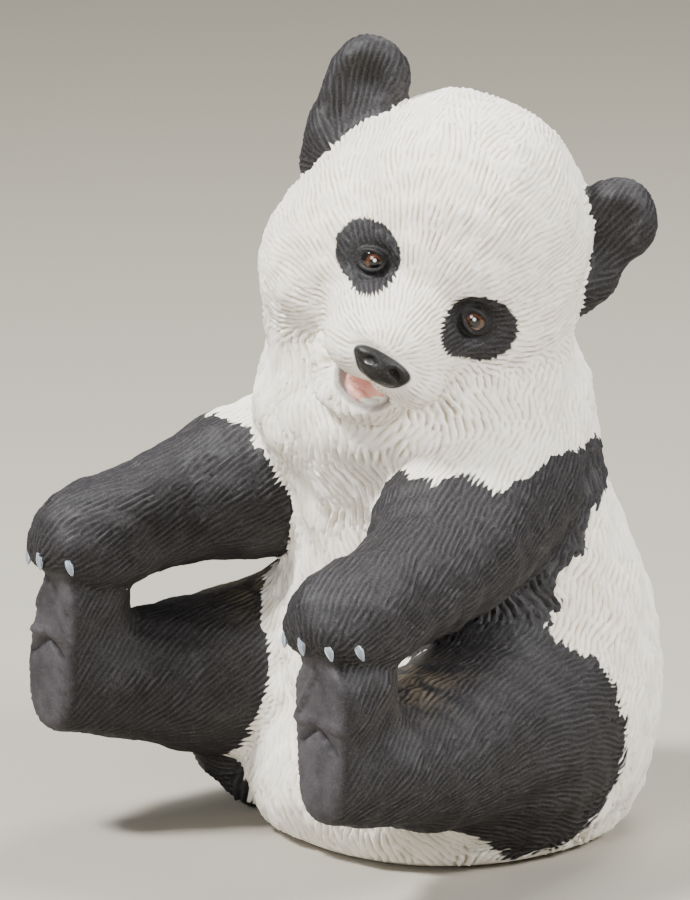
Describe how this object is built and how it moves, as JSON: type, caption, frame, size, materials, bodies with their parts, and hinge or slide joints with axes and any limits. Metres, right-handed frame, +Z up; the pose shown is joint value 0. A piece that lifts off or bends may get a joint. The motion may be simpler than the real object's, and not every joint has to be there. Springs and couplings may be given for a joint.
{
  "type": "panda figurine",
  "caption": "Seated panda cub figurine that holds its own feet, with its head turned and tilted, a black and white coat of carved fur, and a flat underside to stand on",
  "frame": {"origin": "on the plane of the flat underside, midway between the hips, under the middle of the belly", "axes": "+Z is up; the chest and the feet face -Y; the cub's own left is +X; the head is turned from -Y towards +X"},
  "size_m": [0.1246, 0.1343, 0.19],
  "materials": {
    "panda_cub": "satin bisque, painted black on the limbs, the shoulder band, the ears, the eye patches and the nose"
  },
  "bodies": {
    "root": {"panda_cub": "panda_cub"}
  },
  "joints": []
}
